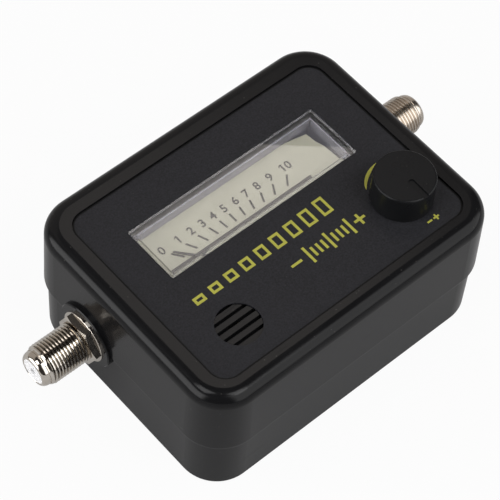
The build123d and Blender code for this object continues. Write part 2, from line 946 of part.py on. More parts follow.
def sounder_case():
    """Round moulded can with a sound port, closed below by its base."""
    can = rod(sounder_radius, sounder_bottom, sounder_top, grille_x, grille_y)
    inner = sounder_radius - sounder_wall
    can = can - rod(inner, sounder_bottom + sounder_wall, sounder_top - sounder_wall, grille_x, grille_y)
    return can - through(sounder_port_radius, sounder_top - sounder_wall, sounder_top, grille_x, grille_y)


def sounder_disc():
    """Thin vibrating disc across the can, resting on its wall."""
    top = sounder_top - sounder_disc_drop
    disc = rod(sounder_disc_radius, top - sounder_disc_thickness, top, grille_x, grille_y)
    rim_bottom = top - 2 * sounder_disc_thickness
    return disc + tube(
        sounder_radius - sounder_wall, sounder_disc_radius, rim_bottom, top, grille_x, grille_y
    )


def sounder_leads():
    """Two stiff leads from the sounder's base down to the circuit board."""
    return separate([lead(x, y, sounder_bottom, sounder_lead_radius) for x, y in sounder_lead_places()])


def meter_outline(inset):
    """The meter's plan: wide under the window, narrow around the movement, with a fan between."""
    front = pivot_y - movement_half
    depth = meter_back - meter_front
    wide = Pos(window_x, meter_back - depth / 2) * Rectangle(meter_length, depth)
    narrow = Pos(pivot_x, (meter_back + front) / 2) * Rectangle(2 * movement_half, meter_back - front)
    fan = make_face(Polyline(
        (pivot_x - meter_fan_half, meter_front), (pivot_x + meter_fan_half, meter_front),
        (pivot_x + movement_half, meter_front - meter_fan_length),
        (pivot_x - movement_half, meter_front - meter_fan_length), close=True,
    ))
    plan = offset(wide + narrow + fan, -inset, kind=Kind.INTERSECTION) if inset else wide + narrow + fan
    return fillet(plan.vertices(), meter_corner_radius)


def meter_prism(inset, bottom, top):
    return extrude(Pos(0, 0, bottom) * meter_outline(inset), top - bottom)


def pit_block(inset, bottom, top):
    """The deep, square part of the meter around the movement."""
    side = 2 * (movement_half - inset)
    return rounded_block(side, side, meter_corner_radius, bottom, top, pivot_x, pivot_y)


def meter_body():
    """Moulded tray: shallow under the dial, deep around the movement, with the posts it carries."""
    tray = meter_prism(0, meter_tray_floor, meter_split) + pit_block(0, meter_pit_floor, meter_split)
    tray = tray - meter_prism(meter_wall, meter_tray_floor + meter_floor, meter_split + overrun)
    tray = tray - pit_block(meter_wall, pit_floor_top, meter_split)
    # A low wall inside the cover carries the dial plate.
    inset = meter_wall + cover_fit
    tray = tray + bed_block(inset, meter_tray_floor, dial_bottom) - bed_block(
        inset + dial_bed_wall, meter_tray_floor + meter_floor, dial_bottom + overrun
    )
    for side in (-1, 1):
        post_y = pivot_y + side * core_post_spread
        tray = tray + rod(core_post_radius, pit_floor_top - overrun, core_bottom, pivot_x, post_y)
    for x, y in corners(yoke_post_place(), yoke_post_place()):
        tray = tray + rod(yoke_post_radius, pit_floor_top, yoke_bottom, pivot_x + x, pivot_y + y)
    return tray - through(jewel_screw_radius, meter_pit_floor, pit_floor_top, pivot_x, pivot_y)


def yoke_post_place():
    """The posts stand under the middle of the ring, on its diagonals."""
    return (yoke_outer_radius + yoke_inner_radius) / 2 / sqrt(2)


def bed_block(inset, bottom, top):
    """The wide part's plan drawn in by an inset."""
    return rounded_block(
        meter_length - 2 * inset, meter_back - meter_front - 2 * inset, meter_corner_radius,
        bottom, top, window_x, (meter_back + meter_front) / 2,
    )


def pane_block(inset, bottom, top):
    """The raised pane's plan drawn in by an inset."""
    return rounded_block(
        window_length - 2 * inset, window_width - 2 * inset, window_corner_radius,
        bottom, top, window_x, window_y,
    )


def meter_cover():
    """Clear cover: a skirt on the tray, a low top, and a raised pane that fills the window."""
    underside = cover_top - cover_top_thickness
    cover = meter_prism(0, meter_split, cover_top) + pane_block(cover_fit, underside, cover_raised_top)
    cover = cover - meter_prism(meter_wall, meter_split - overrun, underside)
    return cover - pane_block(
        cover_fit + meter_wall, underside - overrun, cover_raised_top - cover_window_thickness
    )


def window_liner():
    """Grey strip bent round the back and the right end of the pane's hollow, standing on the dial."""
    inset = cover_fit + meter_wall + liner_clearance
    top = cover_raised_top - cover_window_thickness - liner_clearance
    strip = pane_block(inset, dial_top, top) - pane_block(inset + liner_wall, dial_top - overrun, top + overrun)
    bend = inset + liner_wall
    open_sides = Pos(window_x - bend, window_y - bend, top) * Box(
        window_length, window_width, 2 * (top - dial_top) + overrun
    )
    return strip - open_sides


def dial_plate():
    """Sheet-metal dial with the cut corner that shows at the window's right end."""
    length = dial_right - dial_left
    width = dial_back - dial_front
    corner = [
        (dial_left + length * x_share, dial_front + width * y_share)
        for x_share, y_share in zip(dial_corner_x_shares, dial_corner_y_shares)
    ]
    outline = Polyline(
        (dial_left, dial_front), (dial_left, dial_back), *corner, (dial_right, dial_front), close=True
    )
    return extrude(Pos(0, 0, dial_bottom) * make_face(outline), dial_thickness)


def core_magnet():
    return rod(core_radius, core_bottom, core_bottom + core_height, pivot_x, pivot_y)


def yoke_ring():
    """Soft-iron ring around the coil, with two tapped holes for the bridge."""
    ring = tube(yoke_outer_radius, yoke_inner_radius, yoke_bottom, yoke_top, pivot_x, pivot_y)
    hole_bottom = bridge_top - bridge_screw_length
    for x, y in bridge_leg_places():
        ring = ring - rod(bridge_screw_radius, hole_bottom, yoke_top + overrun, x, y)
    return ring


def bridge_leg_places():
    return pair(pivot_x, pivot_y, 2 * bridge_leg_spread)


def coil_turn():
    """The coil lies across the pointer at rest."""
    return Pos(pivot_x, pivot_y) * Rot(0, 0, pointer_rest_deg)


def coil_frame(inner_radius, outer_radius, thickness, bottom, top, breadth):
    """An upright rectangular frame about the pivot, of a given band thickness."""
    middle = Pos(0, 0, (top + bottom) / 2)
    frame = middle * Box(breadth, 2 * outer_radius, top - bottom)
    return frame - middle * Box(2 * breadth, 2 * inner_radius, top - bottom - 2 * thickness)


def coil_former():
    inset = coil_depth - former_thickness
    return coil_turn() * coil_frame(
        coil_inner_radius, coil_inner_radius + former_thickness, former_thickness,
        coil_bottom + inset, coil_top - inset, coil_breadth,
    )


def coil_winding():
    depth = coil_depth - former_thickness
    frame = coil_frame(
        coil_outer_radius - depth, coil_outer_radius, depth,
        coil_bottom, coil_top, coil_breadth - former_thickness,
    )
    for group in (0, -1):
        frame = fillet(frame.edges().filter_by(Axis.X).group_by(Axis.Z)[group], former_thickness)
    return coil_turn() * frame


def spindle(start, jewel, way):
    """A stub from the coil to a jewel's face, with a fine tip that enters the jewel."""
    return turned_z(
        [(0, start), (spindle_radius, start), (spindle_radius, jewel - way * spindle_tip_length),
         (spindle_tip_radius, jewel - way * spindle_tip_length / 2),
         (spindle_tip_radius, jewel + way * spindle_tip_radius), (0, jewel + way * spindle_tip_radius)],
        pivot_x, pivot_y,
    )


def upper_spindle():
    """Steel stub from the coil up to its jewel, with the pointer's seat."""
    return spindle(coil_top, bridge_bottom, 1)


def lower_spindle():
    """Steel stub from the coil down to the jewel in the tray's floor."""
    return spindle(coil_bottom, pit_floor_top, -1)


def pointer():
    """Thin cranked pointer: hub, tail, riser over the dial's edge and tapered blade."""
    crank_end = pointer_crank_start + pointer_crank_run
    low_top = hub_bottom + pointer_thickness
    blade_top = blade_bottom + pointer_thickness
    side_view = Polyline(
        (-pointer_tail_length, 0, hub_bottom), (pointer_crank_start, 0, hub_bottom),
        (crank_end, 0, blade_bottom), (pointer_length, 0, blade_bottom), (pointer_length, 0, blade_top),
        (crank_end - pointer_thickness, 0, blade_top), (pointer_crank_start - pointer_thickness, 0, low_top),
        (-pointer_tail_length, 0, low_top), close=True,
    )
    root = pointer_root_width / 2
    tip = pointer_tip_width / 2
    plan = Polyline(
        (-pointer_tail_length, -root), (pointer_crank_start, -root), (pointer_length, -tip),
        (pointer_length, tip), (pointer_crank_start, root), (-pointer_tail_length, root), close=True,
    )
    prism = extrude(Pos(0, 0, hub_bottom - overrun) * make_face(plan), blade_top - hub_bottom + 2 * overrun)
    strip = extrude(make_face(side_view), pointer_root_width, both=True) & prism
    arm = strip + rod(pointer_hub_radius, hub_bottom, hub_top) - through(spindle_radius, hub_bottom, hub_top)
    return Pos(pivot_x, pivot_y) * Rot(0, 0, pointer_rest_deg) * arm


def balance_weight():
    """Small weight bent round the pointer's tail."""
    plane = Plane(origin=(-pointer_tail_length, 0, hub_bottom + pointer_thickness + balance_radius),
                  x_dir=(0, 1, 0), z_dir=(1, 0, 0))
    weight = extrude(plane * Circle(balance_radius), balance_length)
    return Pos(pivot_x, pivot_y) * Rot(0, 0, pointer_rest_deg) * weight


def pivot_bridge():
    """Plate on two legs that stand on the yoke, with the upper jewel screw's hole."""
    plate = Box(2 * bridge_half_length, bridge_width, bridge_thickness)
    plate = Pos(pivot_x, pivot_y, (bridge_bottom + bridge_top) / 2) * plate
    plate = fillet(plate.edges().filter_by(Axis.Z), bridge_width / 3)
    plate = plate - through(jewel_screw_radius, bridge_bottom, bridge_top, pivot_x, pivot_y)
    for x, y in bridge_leg_places():
        plate = plate + rod(bridge_leg_radius, yoke_top, bridge_bottom, x, y)
        plate = plate - through(bridge_screw_radius, yoke_top, bridge_top, x, y)
    return plate


def jewel_screw(inner, outer):
    """Threaded jewel holder: a cup for the spindle's tip at its inner end, a head at its outer end."""
    way = 1 if outer > inner else -1
    body = pivot_rod(jewel_screw_radius, inner, outer) + pivot_rod(
        jewel_head_radius, outer, outer + way * jewel_head_height
    )
    return body - pivot_rod(jewel_socket_radius, inner - way * overrun, inner + way * 2 * spindle_tip_radius)


def pivot_rod(radius, one_end, other_end):
    """A cylinder on the pivot's line between two heights in either order."""
    return rod(radius, min(one_end, other_end), max(one_end, other_end), pivot_x, pivot_y)


def spiral_halves():
    """Centre, radius and side of each half circle of the hairspring, from the inside out."""
    halves = []
    centre = 0.0
    radius = hairspring_inner_radius
    growth = hairspring_pitch / 2
    for half in range(2 * hairspring_turns):
        side = 1 if half % 2 == 0 else -1
        halves.append((centre, radius, side))
        centre = centre + side * growth
        radius = radius + growth
    return halves


def spiral_strip(bottom):
    """A flat spiral strip, made of half rings that meet end to end."""
    half_width = hairspring_strip / 2
    bands = []
    for centre, radius, side in spiral_halves():
        ring = Pos(centre, 0) * (Circle(radius + half_width) - Circle(radius - half_width))
        keep = Pos(centre, side * 2 * radius) * Rectangle(6 * radius, 4 * radius)
        bands.append(ring & keep)
    solid = extrude(Pos(0, 0, bottom) * joined(bands), hairspring_height)
    return Pos(pivot_x, pivot_y) * solid


def hairspring_peg_x():
    """Where the last half circle ends, on the line through the pivot along X."""
    centre, radius, side = spiral_halves()[-1]
    return pivot_x + centre - side * radius


def hairspring(bottom, peg_bottom, peg_top):
    """The spiral, and the peg that holds its outer end."""
    peg = rod(hairspring_peg_radius, peg_bottom, peg_top, hairspring_peg_x(), pivot_y)
    return spiral_strip(bottom) + peg


def bridge_screws():
    screws = []
    for x, y in bridge_leg_places():
        shank = rod(bridge_screw_radius, bridge_top - bridge_screw_length, bridge_top, x, y)
        head = rod(bridge_screw_head_radius, bridge_top, bridge_top + bridge_screw_head_height, x, y)
        screws.append(shank + head)
    return separate(screws)


def meter_pins():
    """Two pins from the meter's floor down through the circuit board."""
    return separate([lead(x, y, meter_pit_floor, meter_pin_radius) for x, y in meter_pin_places()])


def amplifier_chip():
    """Dual-in-line package: one moulded body and two rows of legs."""
    chip_x, chip_y = on_board(chip_shares)
    middle = board_top + chip_standoff + chip_height / 2
    foot = board_bottom - lead_overhang
    body = Pos(chip_x, chip_y, middle) * Box(chip_length, chip_width, chip_height)
    body = chamfer(highest_edges(body), chip_standoff)
    arm = Box(chip_leg_width, chip_row_spacing / 2, chip_leg_thickness)
    leg = Box(chip_leg_width, chip_leg_thickness, middle - foot)
    for x, y in chip_leg_places():
        body = body + Pos(x, (y + chip_y) / 2, middle) * arm + Pos(x, y, (foot + middle) / 2) * leg
    return body


def voltage_regulator():
    """Small half-round package on three straight legs."""
    regulator_x, regulator_y = on_board(regulator_shares)
    bottom = board_top + regulator_standoff
    body = rod(regulator_radius, bottom, bottom + regulator_height, regulator_x, regulator_y)
    cut_y = regulator_y - regulator_flat - regulator_radius
    body = body - Pos(regulator_x, cut_y, bottom) * Box(
        2 * regulator_radius, 2 * regulator_radius, 3 * regulator_height
    )
    for x, y in regulator_lead_places():
        body = body + lead(x, y, bottom)
    return body


def electrolytic_capacitors():
    cans = []
    for x, y in electrolytic_places():
        can = rod(electrolytic_radius, board_top, board_top + electrolytic_height, x, y)
        can = fillet(highest_edges(can), electrolytic_rim_radius)
        cans.append(joined([can] + [lead(*place, board_top) for place in pair(x, y, electrolytic_radius)]))
    return separate(cans)


def ceramic_capacitors():
    discs = []
    height = board_top + ceramic_standoff + ceramic_radius
    for x, y in ceramic_places():
        plane = Plane(origin=(x, y - ceramic_thickness / 2, height), x_dir=(1, 0, 0), z_dir=(0, 1, 0))
        disc = extrude(plane * Circle(ceramic_radius), ceramic_thickness)
        discs.append(joined([disc] + [lead(*place, height) for place in pair(x, y, ceramic_radius)]))
    return separate(discs)


def axial_part(x, y, radius, length, span):
    """A body lying along X, just above the board, with its leads bent down at both ends."""
    height = board_top + axial_gap + radius
    part = rod_x(radius, x - length / 2, x + length / 2, y, height)
    part = part + rod_x(lead_radius, x - span / 2, x + span / 2, y, height)
    return joined([part] + [lead(*place, height) for place in pair(x, y, span)])


def resistors():
    return separate([axial_part(x, y, axial_radius, axial_length, axial_span) for x, y in resistor_places()])


def detector_diodes():
    return separate([axial_part(x, y, diode_radius, diode_length, diode_span) for x, y in diode_places()])


def choke_core():
    """Drum-shaped ferrite core."""
    top = board_top + choke_height
    return turned_z(
        [(0, board_top), (choke_radius, board_top), (choke_radius, board_top + choke_cheek),
         (choke_waist_radius, board_top + choke_cheek), (choke_waist_radius, top - choke_cheek),
         (choke_radius, top - choke_cheek), (choke_radius, top), (0, top)], *on_board(choke_shares)
    )


def choke_winding():
    top = board_top + choke_height - choke_cheek
    outer = choke_radius - choke_cheek / 2
    return tube(outer, choke_waist_radius, board_top + choke_cheek, top, *on_board(choke_shares))


pieces = {
    "upper_shell": upper_shell(),
    "lower_shell": lower_shell(),
    "label_panel": label_panel(),
    "case_screws": case_screws(),
    "circuit_board": circuit_board(),
    "board_screws": board_screws(),
    "knob": knob(),
    "pot_shaft": pot_shaft(),
    "pot_wiper": pot_wiper(),
    "pot_track": pot_track(),
    "pot_housing": pot_housing(),
    "pot_bushing": pot_bushing(),
    "pot_terminals": pot_terminals(),
    "sounder_case": sounder_case(),
    "sounder_disc": sounder_disc(),
    "sounder_leads": sounder_leads(),
    "meter_body": meter_body(),
    "meter_cover": meter_cover(),
    "window_liner": window_liner(),
    "dial_plate": dial_plate(),
    "pointer": pointer(),
    "balance_weight": balance_weight(),
    "upper_spindle": upper_spindle(),
    "lower_spindle": lower_spindle(),
    "coil_former": coil_former(),
    "coil_winding": coil_winding(),
    "core_magnet": core_magnet(),
    "yoke_ring": yoke_ring(),
    "pivot_bridge": pivot_bridge(),
    "bridge_screws": bridge_screws(),
    "upper_jewel_screw": jewel_screw(bridge_bottom, bridge_top),
    "lower_jewel_screw": jewel_screw(pit_floor_top, meter_pit_floor),
    "upper_hairspring": hairspring(upper_spring_bottom, upper_spring_bottom, bridge_bottom),
    "lower_hairspring": hairspring(lower_spring_bottom, pit_floor_top, lower_spring_top),
    "meter_pins": meter_pins(),
    "amplifier_chip": amplifier_chip(),
    "voltage_regulator": voltage_regulator(),
    "electrolytic_capacitors": electrolytic_capacitors(),
    "ceramic_capacitors": ceramic_capacitors(),
    "resistors": resistors(),
    "detector_diodes": detector_diodes(),
    "choke_core": choke_core(),
    "choke_winding": choke_winding(),
}
for name, piece in {
    "barrel": connector_barrel(),
    "nut": connector_nut(),
    "washer": connector_washer(),
    "mouth_insulator": mouth_insulator(),
    "rear_insulator": rear_insulator(),
    "contact": connector_contact(),
}.items():
    for side, copy in both_ends(piece).items():
        pieces[side + "_" + name] = copy

for name, piece in pieces.items():
    export_step(piece, "parts/" + name + ".step")
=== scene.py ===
from math import cos, pi, radians, sin

import bmesh
import bpy
from mathutils import Matrix, Vector


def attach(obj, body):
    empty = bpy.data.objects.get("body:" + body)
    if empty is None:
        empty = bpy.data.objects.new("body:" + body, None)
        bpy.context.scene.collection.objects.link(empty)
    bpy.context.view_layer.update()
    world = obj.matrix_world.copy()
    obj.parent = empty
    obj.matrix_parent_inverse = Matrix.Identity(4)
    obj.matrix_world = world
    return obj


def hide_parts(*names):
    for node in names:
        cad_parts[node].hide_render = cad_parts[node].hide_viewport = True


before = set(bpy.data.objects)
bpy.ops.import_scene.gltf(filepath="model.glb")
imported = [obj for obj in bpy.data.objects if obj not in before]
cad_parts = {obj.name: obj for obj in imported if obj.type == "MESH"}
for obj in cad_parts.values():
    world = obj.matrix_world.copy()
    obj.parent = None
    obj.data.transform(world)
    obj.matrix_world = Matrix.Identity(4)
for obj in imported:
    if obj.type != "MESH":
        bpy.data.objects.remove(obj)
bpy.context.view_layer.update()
mm = 0.001


# ---------------------------------------------------------------- Lower shell
# The base of the case: an injection-moulded tray of glossy black ABS, stepped in under
# the seam. It carries the board posts and four wells for the case screws.

def add(tree, kind, sockets=None, **settings):
    """A shader node, its sockets filled with values or with other nodes' outputs."""
    made = tree.nodes.new(kind)
    for name, value in settings.items():
        setattr(made, name, value)
    for name, value in (sockets or {}).items():
        if isinstance(value, bpy.types.NodeSocket):
            tree.links.new(value, made.inputs[name])
        else:
            made.inputs[name].default_value = value
    return made


def group(name, takes, gives):
    """An empty shader node group with named inputs and outputs, and its two end nodes."""
    tree = bpy.data.node_groups.new(name, "ShaderNodeTree")
    for label, kind in takes.items():
        tree.interface.new_socket(label, in_out="INPUT", socket_type="NodeSocket" + kind)
    for label, kind in gives.items():
        tree.interface.new_socket(label, in_out="OUTPUT", socket_type="NodeSocket" + kind)
    return tree, tree.nodes.new("NodeGroupInput").outputs, tree.nodes.new("NodeGroupOutput").inputs


def millimetres(tree, across=(1, 1, 1), centre=(0, 0, 0)):
    """The place on the object in millimetres from a centre, stretched by across."""
    place = add(tree, "ShaderNodeTexCoord").outputs["Object"]
    scale = [a / mm for a in across]
    moved = [-c * a for c, a in zip(centre, across)]
    return add(tree, "ShaderNodeMapping", {"Vector": place, "Scale": scale, "Location": moved}).outputs[0]


def sums(tree, operation, first, second=0.0):
    """One sum on a value or two, by the name that Blender's Math node gives it."""
    return add(tree, "ShaderNodeMath", {0: first, 1: second}, operation=operation).outputs[0]


def between(tree, value, start, end, **settings):
    """0 where a value is at start, 1 where it is at end, and level outside them."""
    sockets = {"Value": value, "From Min": start, "From Max": end}
    return add(tree, "ShaderNodeMapRange", sockets, **settings).outputs[0]


def noise(tree, place, scale, detail, **sockets):
    """A cloudy value that changes over the surface."""
    sockets.update({"Vector": place, "Scale": scale, "Detail": detail})
    return add(tree, "ShaderNodeTexNoise", sockets).outputs[0]


def blend(tree, mask, first, second):
    """The first colour where the mask is 0 and the second where it is 1."""
    return add(tree, "ShaderNodeMix", {0: mask, 6: first, 7: second}, data_type="RGBA").outputs[2]


def handled_surface():
    """Soft patches of tone and gloss, a fine grain, hairline scratches and dust."""
    tree, takes, gives = group(
        "handled_surface",
        {"Colour": "Color", "Patch Colour": "Color", "Patches per mm": "Float", "Roughness": "Float",
         "Roughness Change": "Float", "Grain per mm": "Float", "Scratches": "Float", "Dust": "Float"},
        {"Colour": "Color", "Roughness": "Float", "Height": "Float"},
    )
    place = millimetres(tree)
    patches = between(tree, noise(tree, place, takes["Patches per mm"], 4.0), 0.32, 0.68)
    grain = noise(tree, place, takes["Grain per mm"], 2.0)
    lines = noise(tree, millimetres(tree, (0.09, 2.6, 0.5)), 1.0, 3.0, Distortion=0.6)
    lines = sums(tree, "MULTIPLY", between(tree, lines, 0.66, 0.7), takes["Scratches"])
    specks = add(tree, "ShaderNodeTexVoronoi", {"Vector": place, "Scale": 0.55}).outputs["Distance"]
    specks = sums(tree, "MULTIPLY", between(tree, specks, 0.075, 0.045), takes["Dust"])
    tone = blend(tree, patches, takes["Colour"], takes["Patch Colour"])
    tree.links.new(blend(tree, specks, tone, (0.42, 0.4, 0.37, 1)), gives["Colour"])
    rough = sums(tree, "MULTIPLY", patches, takes["Roughness Change"])
    rough = sums(tree, "ADD", rough, takes["Roughness"])
    rough = sums(tree, "ADD", rough, sums(tree, "MULTIPLY", lines, 0.25))
    rough = sums(tree, "ADD", rough, sums(tree, "MULTIPLY", specks, 0.5))
    tree.links.new(rough, gives["Roughness"])
    height = sums(tree, "SUBTRACT", grain, sums(tree, "MULTIPLY", lines, 0.5))
    tree.links.new(sums(tree, "ADD", height, specks), gives["Height"])
    return tree


surface_group = handled_surface()


def shade(grey):
    """A grey as a colour, or a red, green and blue as they are."""
    return (grey, grey, grey, 1) if isinstance(grey, (int, float)) else (*grey, 1)


def finish(name, colour, patch, size, rough, change, grain, depth, scratches=0.0, dust=0.0, **shader):
    """A material on the handled surface.

    Its two colours lie in patches of a size in mm, and its roughness runs from rough up by
    change. Its grain is as wide as grain in mm and as deep as depth in micrometres.
    """
    material = bpy.data.materials.new(name)
    material.use_nodes = True
    tree = material.node_tree
    tree.nodes.clear()
    surface = add(tree, "ShaderNodeGroup", node_tree=surface_group, name="surface")
    for label, value in {
        "Colour": shade(colour), "Patch Colour": shade(patch), "Patches per mm": 1 / size,
        "Roughness": rough, "Roughness Change": change, "Grain per mm": 1 / grain,
        "Scratches": scratches, "Dust": dust,
    }.items():
        surface.inputs[label].default_value = value
    relief = {"Height": surface.outputs["Height"], "Strength": 1.0, "Distance": depth * mm * mm}
    bump = add(tree, "ShaderNodeBump", relief, name="bump")
    sockets = {
        label.replace("_", " ").title().replace("Ior", "IOR"): value for label, value in shader.items()
    }
    skin = add(tree, "ShaderNodeBsdfPrincipled", {
        "Base Color": surface.outputs["Colour"], "Roughness": surface.outputs["Roughness"],
        "Normal": bump.outputs[0], **sockets,
    }, name="skin")
    add(tree, "ShaderNodeOutputMaterial", {"Surface": skin.outputs[0]}, name="out")
    return material


def dress(material, *names):
    """Puts a finish on CAD nodes, which keep their shape."""
    for name in names:
        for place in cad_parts[name].material_slots:
            place.material = material


case_plastic = finish(
    "case_plastic", (0.006, 0.006, 0.0066), (0.0075, 0.0075, 0.0082), 14, 0.15, 0.05, 0.45, 1.2,
    scratches=0.3, dust=0.12, specular_ior_level=0.17,
)
dress(case_plastic, "lower_shell")


# ---------------------------------------------------------------- Circuit board
# Green glass-epoxy laminate with solder mask, cut round the corner pillars and held by
# four small screws. It carries every part of the detector and its amplifier.

def recolour(material, make):
    """Replaces the colour that feeds the shader by make(tree, that colour)."""
    tree = material.node_tree
    surface, skin = tree.nodes["surface"], tree.nodes["skin"]
    tree.links.new(make(tree, surface.outputs["Colour"]), skin.inputs["Base Color"])


board_laminate = finish(
    "board_laminate", (0.012, 0.075, 0.028), (0.018, 0.1, 0.036), 5, 0.32, 0.12, 0.3, 3, scratches=0.2,
)


def printed_tracks(tree, mask_green):
    """Copper tracks under the solder mask: cell borders squared off into a grid of runs."""
    cells = add(
        tree, "ShaderNodeTexVoronoi", {"Vector": millimetres(tree), "Scale": 0.22, "Randomness": 0.8},
        distance="CHEBYCHEV", feature="F1",
    ).outputs["Distance"]
    tracks = between(tree, sums(tree, "PINGPONG", cells, 0.16), 0.07, 0.085)
    return blend(tree, tracks, mask_green, (0.03, 0.16, 0.05, 1))


recolour(board_laminate, printed_tracks)
dress(board_laminate, "circuit_board")

# All the screws: zinc-plated steel. The case's and the board's are pan heads with a square
# recess for the driver, and the bridge's small heads are plain.
screw_steel = finish("screw_steel", 0.5, 0.42, 1.5, 0.24, 0.14, 0.12, 1.5, scratches=0.5, metallic=1.0)
dress(screw_steel, "board_screws", "case_screws", "bridge_screws")


# ---------------------------------------------------------------- Board parts
# Moulded packages, cans, glass diodes and a wound choke, soldered through the board by
# tinned leads.

chip_resin = finish("chip_resin", 0.012, 0.017, 2, 0.42, 0.1, 0.12, 6, dust=0.3)
dress(chip_resin, "amplifier_chip", "voltage_regulator")

ceramic = finish("ceramic", (0.5, 0.22, 0.05), (0.42, 0.17, 0.04), 1.5, 0.35, 0.12, 0.3, 8)
dress(ceramic, "ceramic_capacitors")

can_sleeve = finish("can_sleeve", (0.01, 0.02, 0.06), (0.014, 0.028, 0.08), 3, 0.28, 0.1, 0.5, 3)
sleeve_top = 21.6


def sleeve_and_can(tree, sleeve):
    """The shrunk sleeve stops short of the can's bare aluminium top."""
    height = add(tree, "ShaderNodeSeparateXYZ", {"Vector": millimetres(tree)}).outputs[2]
    return blend(tree, between(tree, height, sleeve_top, sleeve_top + 0.1), sleeve, (0.62, 0.62, 0.63, 1))


recolour(can_sleeve, sleeve_and_can)
dress(can_sleeve, "electrolytic_capacitors")

resistor_lacquer = finish(
    "resistor_lacquer", (0.5, 0.33, 0.17), (0.45, 0.29, 0.15), 2, 0.3, 0.1, 0.25, 4,
)
diode_glass = finish(
    "diode_glass", (0.5, 0.12, 0.02), (0.42, 0.09, 0.02), 1, 0.08, 0.05, 0.4, 1, coat_weight=0.6,
)
ferrite = finish("ferrite", 0.02, 0.03, 1.2, 0.5, 0.15, 0.1, 8)
copper_wire = finish(
    "copper_wire", (0.62, 0.22, 0.07), (0.5, 0.16, 0.05), 1.2, 0.22, 0.12, 0.2, 2, metallic=1.0,
)
dress(resistor_lacquer, "resistors")
dress(diode_glass, "detector_diodes")
dress(ferrite, "choke_core")

wire_width, wire_relief = 0.22, 60


def wound(material, axis, width, depth):
    """Adds the turns of a winding along an axis: their width in mm, their depth in micrometres."""
    tree = material.node_tree
    # A wave at a scale of 1 repeats each 2 pi / 20 of its place.
    turns = add(
        tree, "ShaderNodeTexWave", {"Vector": millimetres(tree), "Scale": 2 * pi / 20 / width},
        wave_type="BANDS", bands_direction=axis, wave_profile="SIN",
    ).outputs["Fac"]
    relief = add(tree, "ShaderNodeBump", {
        "Height": turns, "Strength": 1.0, "Distance": depth * mm * mm,
        "Normal": tree.nodes["bump"].outputs[0],
    })
    tree.links.new(relief.outputs[0], tree.nodes["skin"].inputs["Normal"])


wound(copper_wire, "Z", wire_width, wire_relief)
dress(copper_wire, "choke_winding", "coil_winding")


# ---------------------------------------------------------------- Connectors
# One on each end wall, clamped through it on the seam: a turned and nickel-plated brass
# barrel with a rolled 3/8-32 thread, its washer and hexagon nut, and the insulators.

thread_crest, thread_root, thread_pitch = 4.7625, 4.28, 0.79375
barrel_bore, barrel_back, barrel_tip = 3.05, 30.55, 55.25
nut_front, runout_start, runout_end, runout_slope = 43.6, 52.4, 53.5, 0.33
connector_y, seam_height = 10.05, 16.0015

connector_nickel = finish(
    "connector_nickel", (0.68, 0.635, 0.575), (0.6, 0.555, 0.495), 2.2, 0.08, 0.06, 0.25, 1.0,
    scratches=0.3, metallic=1.0,
)
dull_nickel = finish(
    "dull_nickel", (0.66, 0.6, 0.53), (0.58, 0.52, 0.455), 2.2, 0.19, 0.06, 0.25, 1.5,
    scratches=0.3, metallic=1.0,
)
nut_nickel = finish(
    "nut_nickel", (0.68, 0.635, 0.575), (0.58, 0.54, 0.48), 1.2, 0.1, 0.08, 0.25, 1.5,
    scratches=0.5, metallic=1.0,
)
insulator_white = finish(
    "insulator_white", (0.93, 0.93, 0.94), (0.89, 0.89, 0.9), 2, 0.5, 0.1, 0.2, 4, specular_ior_level=0.3,
)
contact_tin = finish(
    "contact_tin", (0.7, 0.69, 0.66), (0.6, 0.59, 0.56), 0.8, 0.25, 0.12, 0.15, 2, metallic=1.0,
)


def dark_roots(tree, plating):
    """Painted shade: the plating is coloured dark in the thread's roots, from the nut to the run-out."""
    around = millimetres(tree, (0, 1, 1), (0, connector_y, seam_height))
    radius = add(tree, "ShaderNodeVectorMath", {0: around}, operation="LENGTH").outputs["Value"]
    root = between(tree, radius, thread_root + 0.28, thread_root + 0.04)
    root = sums(tree, "MULTIPLY", root, sums(tree, "GREATER_THAN", radius, thread_root - 0.18))
    along = add(tree, "ShaderNodeSeparateXYZ", {"Vector": millimetres(tree)}).outputs[0]
    along = sums(tree, "ABSOLUTE", along)
    threaded = between(tree, along, runout_start + 0.7, runout_start + 0.1)
    threaded = sums(tree, "MULTIPLY", threaded, sums(tree, "GREATER_THAN", along, nut_front - 0.3))
    # The roots take a dark brown-grey in place of the plating: painted shade in the grooves.
    return blend(tree, sums(tree, "MULTIPLY", root, threaded), plating, (0.24, 0.22, 0.19, 1))


recolour(connector_nickel, dark_roots)


def turned(profile, steps=96):
    """A lathe-turned closed ring round the X axis, from its outline in along and radius."""
    shape = bmesh.new()
    points = [shape.verts.new((x, 0, r)) for x, r in profile]
    edges = [shape.edges.new((a, b)) for a, b in zip(points, points[1:] + points[:1])]
    bmesh.ops.spin(
        shape, geom=points + edges, cent=(0, 0, 0), axis=(1, 0, 0), angle=2 * pi,
        steps=steps, use_merge=True,
    )
    bmesh.ops.recalc_face_normals(shape, faces=shape.faces)
    return shape


def piece(name, shape, material, body, move=(0, 0, 0), mirror=False, smooth=35):
    """A finished piece that rides on a body, in metres, from a bmesh in millimetres."""
    if mirror:
        bmesh.ops.scale(shape, vec=(-1, 1, 1), verts=shape.verts)
        bmesh.ops.reverse_faces(shape, faces=shape.faces)
    bmesh.ops.translate(shape, vec=move, verts=shape.verts)
    bmesh.ops.scale(shape, vec=(mm, mm, mm), verts=shape.verts)
    mesh = bpy.data.meshes.new(name)
    shape.to_mesh(mesh)
    shape.free()
    made = bpy.data.objects.new(name, mesh)
    bpy.context.scene.collection.objects.link(made)
    mesh.materials.append(material)
    if smooth:
        mesh.shade_smooth()
        mesh.set_sharp_from_angle(angle=radians(smooth))
    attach(made, body)
    return made


